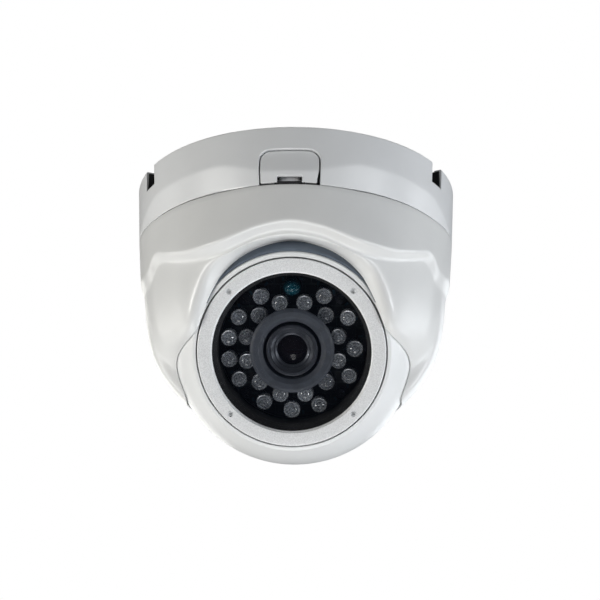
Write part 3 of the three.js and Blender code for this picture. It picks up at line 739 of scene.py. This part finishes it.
def cover_section(azimuth):
    """Points round the cover's closed section, at one azimuth about the ball's centre."""
    side = abs(azimuth)
    (elevation,) = along(LIP_EDGE, side)

    def on_sphere(r, lift):
        e = math.radians(elevation + lift)
        return BALL_CENTRE + at_azimuth(r * math.cos(e), azimuth, r * math.sin(e))

    outer = lerp(LIP_R["front"], LIP_R["side"], smoothstep(40, 58, side))
    lip = on_sphere(outer, 0)
    lip_r = math.hypot(lip.x, lip.y)
    heading = math.degrees(math.atan2(lip.x, -lip.y))
    upper, lower, under_r = along(BROW, abs(heading))
    top_r = wall_radius(heading, SEAM_Z)
    top = Vector((top_r, COVER_TOP_Z - 0.16))
    brow = Vector((BROW_R, upper))
    valley = Vector((under_r, lower))

    # The cheek runs down and leans in, until it rolls over into the lip.
    (turn_in,) = along(TURN_IN, side)
    turn_in = math.radians(turn_in)
    run = under_r - CHEEK_LEAN * (lower - lip.z) - lip_r
    run /= math.cos(turn_in) + CHEEK_LEAN * math.sin(turn_in)
    lip_point = Vector((lip_r, lip.z))
    corner = lip_point + run * Vector((math.cos(turn_in), -math.sin(turn_in)))
    brow_round = eased(top, brow, valley)
    valley_round = eased(brow, valley, corner)
    start = valley_round[-1]
    held_at_top = start.lerp(corner, CHEEK_HOLD["top"])
    held_at_lip = lip_point.lerp(corner, CHEEK_HOLD["lip"])
    dome = start, held_at_top, held_at_lip, lip_point

    outline = [Vector((top_r - 0.14, COVER_TOP_Z)), Vector((top_r - 0.04, COVER_TOP_Z - 0.04))]
    outline += straight(top, brow_round[0], 10) + brow_round
    outline += straight(brow_round[-1], valley_round[0], 5)[1:] + valley_round[:-1]
    outside = [bezier(*dome, k / CHEEK_STEPS) for k in range(CHEEK_STEPS + 1)]
    outline += outside[:-1]
    points = [at_azimuth(p.x, heading, p.y) for p in outline]
    inner = LIP_R["inner"]
    points += [lip, on_sphere(lerp(outer, inner, 0.5), -0.1), on_sphere(inner, 0.3), on_sphere(inner, 1.0)]
    for k in range(CHEEK_STEPS - 2, -1, -4):
        ahead, behind = outside[k + 1], outside[max(0, k - 1)]
        tangent = (ahead - behind).normalized()
        inside = outside[k] + Vector((tangent.y, -tangent.x)) * COVER_WALL
        points.append(clear_of_ball(at_azimuth(inside.x, heading, inside.y)))
    inside_r = BROW_R - COVER_WALL - BROW_INSIDE["in"]
    points.append(at_azimuth(inside_r, heading, upper + BROW_INSIDE["up"]))
    points.append(at_azimuth(top_r - COVER_WALL, heading, COVER_TOP_Z))
    return points


def shade_apron():
    """Dark apron under the opening's upper edge, down to just above the ball's rim: painted shade of the ball
    under the lip.
    """
    look_down = math.asin(-LOOK.z)
    sections = []
    for azimuth in spread([-SHADE_APRON["reach"], SHADE_APRON["reach"]], COLUMN):
        (elevation,) = along(LIP_EDGE, abs(azimuth))
        ahead = math.cos(math.radians(azimuth)) * math.cos(look_down)
        lean = math.atan2(-math.sin(look_down), ahead)
        level = math.hypot(ahead, math.sin(look_down))
        foot = math.degrees(lean + math.acos(math.cos(math.radians(SHADE_APRON["foot"])) / level))
        foot = min(foot, elevation - 0.2)
        rim = [(SHADE_APRON["outer"], elevation + 1.5)]
        rim += [(SHADE_APRON["outer"], lerp(elevation, foot + 0.6, k / 6)) for k in range(7)]
        rim += [(SHADE_APRON["inner"] + 0.1, foot), (SHADE_APRON["inner"], foot + 0.3), (SHADE_APRON["inner"], elevation + 1.5)]
        section = []
        for r, height in rim:
            e = math.radians(height)
            section.append(BALL_CENTRE + at_azimuth(r * math.cos(e), azimuth, r * math.sin(e)))
        sections.append(section)
    bm = grid(bmesh.new(), sections, around=True)
    ends = [[v for v in bm.verts if v.is_boundary and v.co.x * side > 0] for side in (-1, 1)]
    for end in ends:
        bmesh.ops.contextual_create(bm, geom=end)
    return piece("shade_apron", bm, sharp=50)


def cover_shell():
    azimuths = [COLUMN * (k - 143.5) for k in range(288)]
    sections = [cover_section(a) for a in azimuths]
    rows = [*zip(*sections)]
    rows.append(rows[0])
    return piece("cover_shell", grid(bmesh.new(), rows, around=True), sharp=50)


# ---------- ball ----------


def ball_body():
    edge_z, latitude = BALL_EDGE["z"], BALL_EDGE["latitude"]
    end = Vector(arc(BALL_R, latitude, 0, 1)[0])
    back_along_sphere = Vector((-end.y, end.x)).normalized()
    crest = Vector((RING["bore"] + 0.75, edge_z - 0.15))
    before_end = end + back_along_sphere * 0.55
    edge = [bezier(crest, crest + Vector((0.4, -0.05)), before_end, end, k / 8) for k in range(9)]
    rear = math.degrees(math.acos(REAR_HOLE_R / BALL_R))
    inner_r = BALL_R - BALL_WALL
    inner_rear = math.degrees(math.acos(REAR_HOLE_R / inner_r))
    outline = rounded([(RING["bore"], 17.9), (RING["bore"], edge_z, 0.15), (crest.x, crest.y)])
    outline += [(p.x, p.y) for p in edge[1:-1]]
    outline += arc(BALL_R, latitude, -rear, 84)
    outline += arc(inner_r, -inner_rear, 20, 30) + [(24, 15.2), (20.9, 15.6), (20.9, 17.9)]
    return piece("ball_body", lathe(bmesh.new(), outline), EYE)


def trim_ring():
    under = GLASS["front"] + 0.3
    skirt = GLASS["r"] + 0.4
    outline = rounded([
        (RING["outer"], RING["back"]), (RING["outer"], FACE_Z, 0.35), (RING["aperture"], FACE_Z, 0.12),
        (RING["lip"] + 0.35, under + 0.75, 0.1), (RING["lip"], under + 0.6, 0.1), (RING["lip"], under),
        (skirt, under), (skirt, RING["back"]),
    ])
    ring = piece("trim_ring", lathe(bmesh.new(), outline), EYE, sharp=50)
    holes = bmesh.new()
    circle, above = PIN_HOLE["circle"], FACE_Z + 0.2
    pin = [
        (0, FACE_Z - PIN_HOLE["depth"]), (0.45, FACE_Z - 1.0), (0.8, FACE_Z - 0.6),
        (PIN_HOLE["r"], above), (0, above),
    ]
    for angle in PIN_HOLE["angles"]:
        a = math.radians(angle)
        lathe(holes, pin, 32, (circle * math.cos(a), circle * math.sin(a)))
    return combine(ring, "DIFFERENCE", piece("pin_holes", holes, EYE))


def window_glass():
    outline = rounded([
        (0, GLASS["back"]), (GLASS["r"], GLASS["back"], 0.2), (GLASS["r"], GLASS["front"], 0.25),
        (0, GLASS["front"]),
    ])
    return piece("window_glass", lathe(bmesh.new(), outline, 128), EYE)


def window_seal():
    """Black rubber sleeve between the ball and the window, which also lines the bore behind it."""
    sleeve, flange = (20.4, 20.85), GLASS["r"] - 0.1
    outline = rounded([
        (sleeve[0], 9.0), (sleeve[1], 9.0), (sleeve[1], 17.95), (flange, 17.95),
        (flange, GLASS["back"] - 0.05), (21.7, GLASS["back"] - 0.05, 0.2), (sleeve[0], 18.3, 0.3),
    ])
    return piece("window_seal", lathe(bmesh.new(), outline, 128), EYE)


def led_board():
    low, high = in_eye("led_board")
    hole = 8.3
    outline = rounded([(hole, low.z), (high.x, low.z), (high.x, high.z, 0.15), (hole, high.z, 0.15)])
    board = piece("led_board", lathe(bmesh.new(), outline, 128), EYE)
    parts = bmesh.new()
    for angle in range(8, 360, 15):
        a = math.radians(angle)
        spot = Vector((18.9, 0, 0))
        turn = Matrix.Rotation(a, 3, "Z")
        made = block(bmesh.new(), (18.3, 19.5), (-0.35, 0.35), (high.z - 0.1, high.z + 0.35))
        bmesh.ops.rotate(made, verts=made.verts, cent=(0, 0, 0), matrix=turn)
        if angle % 2:
            bmesh.ops.rotate(made, verts=made.verts, cent=turn @ spot, matrix=Matrix.Rotation(a, 3, "Z"))
        absorb(parts, made)
    chips = piece("board_parts", parts, EYE)
    return board, chips


LED_NODES = sorted(node for node in frame["nodes"] if node.startswith("led_") and node != "led_board")


def lamp_spot(node):
    """Axis of a lamp in the eye's frame, its radius, and the heights of its foot and tip."""
    low, high = in_eye(node)
    return (low.x + high.x) / 2, (low.y + high.y) / 2, (high.x - low.x) / 2, low.z, high.z


def lamp(name, node):
    """A moulded resin lamp with a flange at its foot and a domed tip."""
    x, y, r, foot, tip = lamp_spot(node)
    outline = rounded([(0, foot), (r, foot, 0.1), (r, foot + 0.9, 0.15), (r * 0.97, foot + 1.1)])
    outline += [(px, tip - r * 0.97 + pz) for px, pz in arc(r * 0.97, 0, 90, 14)]
    outline[-1] = (0, tip)
    bm = lathe(bmesh.new(), outline, 48)
    bmesh.ops.translate(bm, vec=(x, y, 0), verts=bm.verts)
    return piece(name, bm, EYE)


# Reflector of a lamp: shares of the lamp's radius, and depths below the reflector's edge.
REFLECTOR = [
    (0, 0.35), (0.13, 0.35), (0.2, 1.3), (0.3, 1.2), (0.4, 0.35), (0.48, 0.35), (0.56, 1.1),
    (0.66, 1.0), (0.77, 0.1), (0.87, 0.05), (0.93, 0.5), (0.93, 2.6), (0, 2.6),
]


def lamp_reflectors():
    """Stepped cups of all the lamps, each leaning its own way as they are soldered by hand."""
    bm = bmesh.new()
    for index, node in enumerate(LED_NODES):
        x, y, r, _, tip = lamp_spot(node)
        cup = lathe(bmesh.new(), [(share * r, -depth) for share, depth in REFLECTOR], 40)
        way = Matrix.Rotation(index * GOLDEN_ANGLE, 4, "Z")
        lean = way @ Matrix.Rotation(math.radians(5), 4, "X")
        place_at = Matrix.Translation((x, y, tip - r * 0.8)) @ lean
        bmesh.ops.transform(cup, matrix=place_at, verts=cup.verts)
        absorb(bm, cup)
    return piece("lamp_reflectors", bm, EYE)


def lens_shroud():
    low, high = in_eye("lens_shroud")
    r, bore = high.x, 7.9
    outline = rounded([
        (bore, low.z), (r - 1.3, low.z), (r - 1.3, high.z - 2.2), (r, high.z - 1.3, 0.3),
        (r, high.z - 0.5, 0.35), (r - 0.9, high.z, 0.4), (bore + 1.2, high.z - 0.15, 0.5),
        (bore, high.z - 1.2, 0.3),
    ])
    return piece("lens_shroud", lathe(bmesh.new(), outline, 128), EYE)


def lens_barrel():
    low, high = in_eye("lens_barrel")
    thread = 5.85
    outline = [(4.2, low.z), (thread, low.z)]
    z = low.z + 0.5
    while z < 10:
        outline += [(thread, z), (thread - 0.25, z + 0.25)]
        z += 0.5
    outline += rounded([
        (thread, 10.6), (high.x, 10.6, 0.3), (high.x, high.z, 0.3), (high.x - 0.95, high.z, 0.2),
        (high.x - 1.15, high.z - 0.5, 0.1), (5.0, high.z - 1.1, 0.1), (4.7, high.z - 1.5, 0.1),
        (4.1, high.z - 1.8, 0.1), (4.1, high.z - 2.0), (5.0, high.z - 2.2), (5.0, 13.9), (4.2, 13.9),
    ])
    return piece("lens_barrel", lathe(bmesh.new(), outline, 128), EYE)


def lens_front_glass():
    low, high = in_eye("lens_front_glass")
    r = high.x
    rise = high.z - low.z - 0.9
    sphere = (r * r + rise * rise) / (2 * rise)
    across = [r * k / 12 for k in range(12, -1, -1)]
    dome = [(x, high.z - sphere + math.sqrt(sphere**2 - x * x)) for x in across]
    return piece("lens_front_glass", lathe(bmesh.new(), [(0, low.z), (r, low.z)] + dome, 96), EYE)


def cable_gland():
    outline = rounded([
        (2.6, -30.2), (6.2, -30.2), (6.2, -31.3), (4.3, -31.3), (4.3, -35.4), (6.2, -35.4, 0.25),
        (6.2, -37.2, 0.5), (5.2, -38.2, 0.3), (2.6, -38.2, 0.2),
    ])
    return piece("cable_gland", lathe(bmesh.new(), outline, 64), EYE)


# ---------- assembly ----------

place(mounting_base(), "base", "base_paint", BASE_PAINT, "mounting_base")
place(hatch_plug(), "base", "base_paint", BASE_PAINT, "hatch_plug")
place(hatch_screw(), "base", "screw_steel", STEEL, "hatch_screw")
# Black strip at the foot of the hatch: painted shade of the gap below the plug.
place(hatch_shade_strip(), "base", "rubber_black", RUBBER)
# Dark sheets in the notches paint the shade on their walls.
for side in (-1, 1):
    place(notch_shade_sheet(side), "base", "rubber_black", RUBBER)
place(cover_shell(), "cover", "cover_paint", COVER_PAINT, "cover_shell")
# The dark apron under the lip is painted shade.
place(shade_apron(), "cover", "rubber_shroud", SHADE_APRON_PAINT)
place(cable_gland(), "gland", "rubber_black", RUBBER, "cable_gland")
place(ball_body(), "ball", "ball_paint", BALL_PAINT, "ball_body")
place(trim_ring(), "ball", "ring_paint", RING_PAINT, "trim_ring")
place(window_glass(), "ball", "window_glass", WINDOW, "window_glass")
place(window_seal(), "ball", "rubber_black", RUBBER, "window_seal")
board, chips = led_board()
place(board, "ball", "circuit_board", CIRCUIT, "led_board")
place(chips, "ball", "sensor_chip", CHIP)
place(lamp_reflectors(), "ball", "screw_steel", REFLECTOR_METAL)
for node in LED_NODES:
    place(lamp("lamp_" + node[4:], node), "ball", "led_epoxy", EPOXY, node)
place(lamp("light_sensor", "photocell"), "ball", "photocell_epoxy", TEAL_EPOXY, "photocell")
place(lens_shroud(), "ball", "rubber_shroud", SHROUD_RUBBER, "lens_shroud")
place(lens_barrel(), "lens", "anodised_black", ANODISED, "lens_barrel")
place(lens_front_glass(), "lens", "lens_glass", LENS_GLASS, "lens_front_glass")

KEPT = {
    "screw_steel": STEEL, "bare_alloy": ALLOY, "brass": BRASS, "nylon": NYLON, "rubber_black": RUBBER,
    "circuit_board": CIRCUIT, "sensor_chip": CHIP, "anodised_black": ANODISED,
}
for part in frame["record"]["subparts"]:
    finish = KEPT.get(part["material_slot"])
    node = frame["nodes"][part["node"]]
    if finish and not node.hide_render:
        node.material_slots[0].material = finish

# ---------- camera, light and floor ----------
AIM = Vector((0, 0, -0.03155))
DISTANCE = 0.350
AZIMUTH, ELEVATION, ROLL = 2.2, -20.46, 0.5
LIGHT_DISTANCE = 0.9
WHITE, WARM, COOL = (1, 1, 1), (1.0, 0.99, 0.95), (0.94, 0.97, 1.0)


def add_camera():
    data = bpy.data.cameras.new("camera")
    data.lens = 71.87
    data.sensor_width = 36
    data.shift_x = 0.0081
    data.clip_start = 0.01
    data.clip_end = 20
    camera = bpy.data.objects.new("camera", data)
    bpy.context.scene.collection.objects.link(camera)
    e = math.radians(ELEVATION)
    offset = at_azimuth(math.cos(e), AZIMUTH, math.sin(e)) * DISTANCE
    turn = (-offset).to_track_quat("-Z", "Y").to_matrix().to_4x4()
    roll = Matrix.Rotation(math.radians(ROLL), 4, "Z")
    camera.matrix_world = Matrix.Translation(AIM + offset) @ turn @ roll
    bpy.context.scene.camera = camera


def add_light(name, azimuth, elevation, size, power, color):
    data = bpy.data.lights.new(name, "AREA")
    data.shape = "DISK"
    data.size = size
    data.energy = power
    data.color = color
    light = bpy.data.objects.new(name, data)
    bpy.context.scene.collection.objects.link(light)
    e = math.radians(elevation)
    offset = at_azimuth(math.cos(e), azimuth, math.sin(e)) * LIGHT_DISTANCE
    turn = (-offset).to_track_quat("-Z", "Y").to_matrix().to_4x4()
    light.matrix_world = Matrix.Translation(AIM + offset) @ turn


def add_world():
    world = bpy.data.worlds.new("studio")
    bpy.context.scene.world = world
    world.use_nodes = True
    nodes, links = world.node_tree.nodes, world.node_tree.links
    nodes.clear()
    direction = nodes.new("ShaderNodeTexCoord").outputs["Generated"]
    split = nodes.new("ShaderNodeSeparateXYZ")
    links.new(direction, split.inputs["Vector"])
    height = nodes.new("ShaderNodeMapRange")
    height.inputs["From Min"].default_value = -1
    links.new(split.outputs["Z"], height.inputs["Value"])
    ramp = nodes.new("ShaderNodeValToRGB")
    ramp.color_ramp.elements[0].position = 0.35
    ramp.color_ramp.elements[0].color = (0.04, 0.04, 0.04, 1)
    ramp.color_ramp.elements[1].position = 0.75
    ramp.color_ramp.elements[1].color = (0.02, 0.02, 0.022, 1)
    links.new(height.outputs["Result"], ramp.inputs["Fac"])
    light = nodes.new("ShaderNodeBackground")
    links.new(ramp.outputs["Color"], light.inputs["Color"])
    white = nodes.new("ShaderNodeBackground")
    white.inputs["Color"].default_value = (1, 1, 1, 1)
    mix = nodes.new("ShaderNodeMixShader")
    links.new(nodes.new("ShaderNodeLightPath").outputs["Is Camera Ray"], mix.inputs["Fac"])
    links.new(light.outputs["Background"], mix.inputs[1])
    links.new(white.outputs["Background"], mix.inputs[2])
    links.new(mix.outputs["Shader"], nodes.new("ShaderNodeOutputWorld").inputs["Surface"])


def add_floor():
    bm = bmesh.new()
    bmesh.ops.create_grid(bm, x_segments=1, y_segments=1, size=1500)
    floor = piece("floor", bm, Matrix.Translation((0, 0, -1.5)))
    finish = Finish("floor", (0.8, 0.8, 0.8), 0.7)
    finish.shades(finish.noise(60, 3), 0.02)
    floor.data.materials.append(finish.material)


bpy.context.scene.view_settings.view_transform = "Standard"
add_camera()
add_world()
add_floor()
for name, azimuth, elevation, size, power, color in (
    ("below", 0, -80, 0.45, 2.2, WHITE),
    ("front_low", 0, -60, 0.3, 0.7, WHITE),
    ("left_low", -90, -35, 0.45, 1.4, WARM),
    ("right_low", 90, -35, 0.45, 2.3, COOL),
    ("left_side", -95, -5, 0.45, 1.3, WARM),
    ("right_side", 95, -5, 0.45, 1.9, COOL),
    ("left_front", -55, -8, 0.2, 3.2, WARM),
    ("right_front", 55, -8, 0.2, 2.5, COOL),
    ("upper_right", 60, 40, 0.45, 0.3, COOL),
    ("rear_left", -120, -30, 0.45, 0.3, WARM),
    ("behind_left", -155, 5, 0.45, 0.9, WARM),
    ("behind_right", 155, 5, 0.45, 0.9, COOL),
    ("above", 180, 62, 0.45, 1.2, WHITE),
):
    add_light(name, azimuth, elevation, size, power, color)
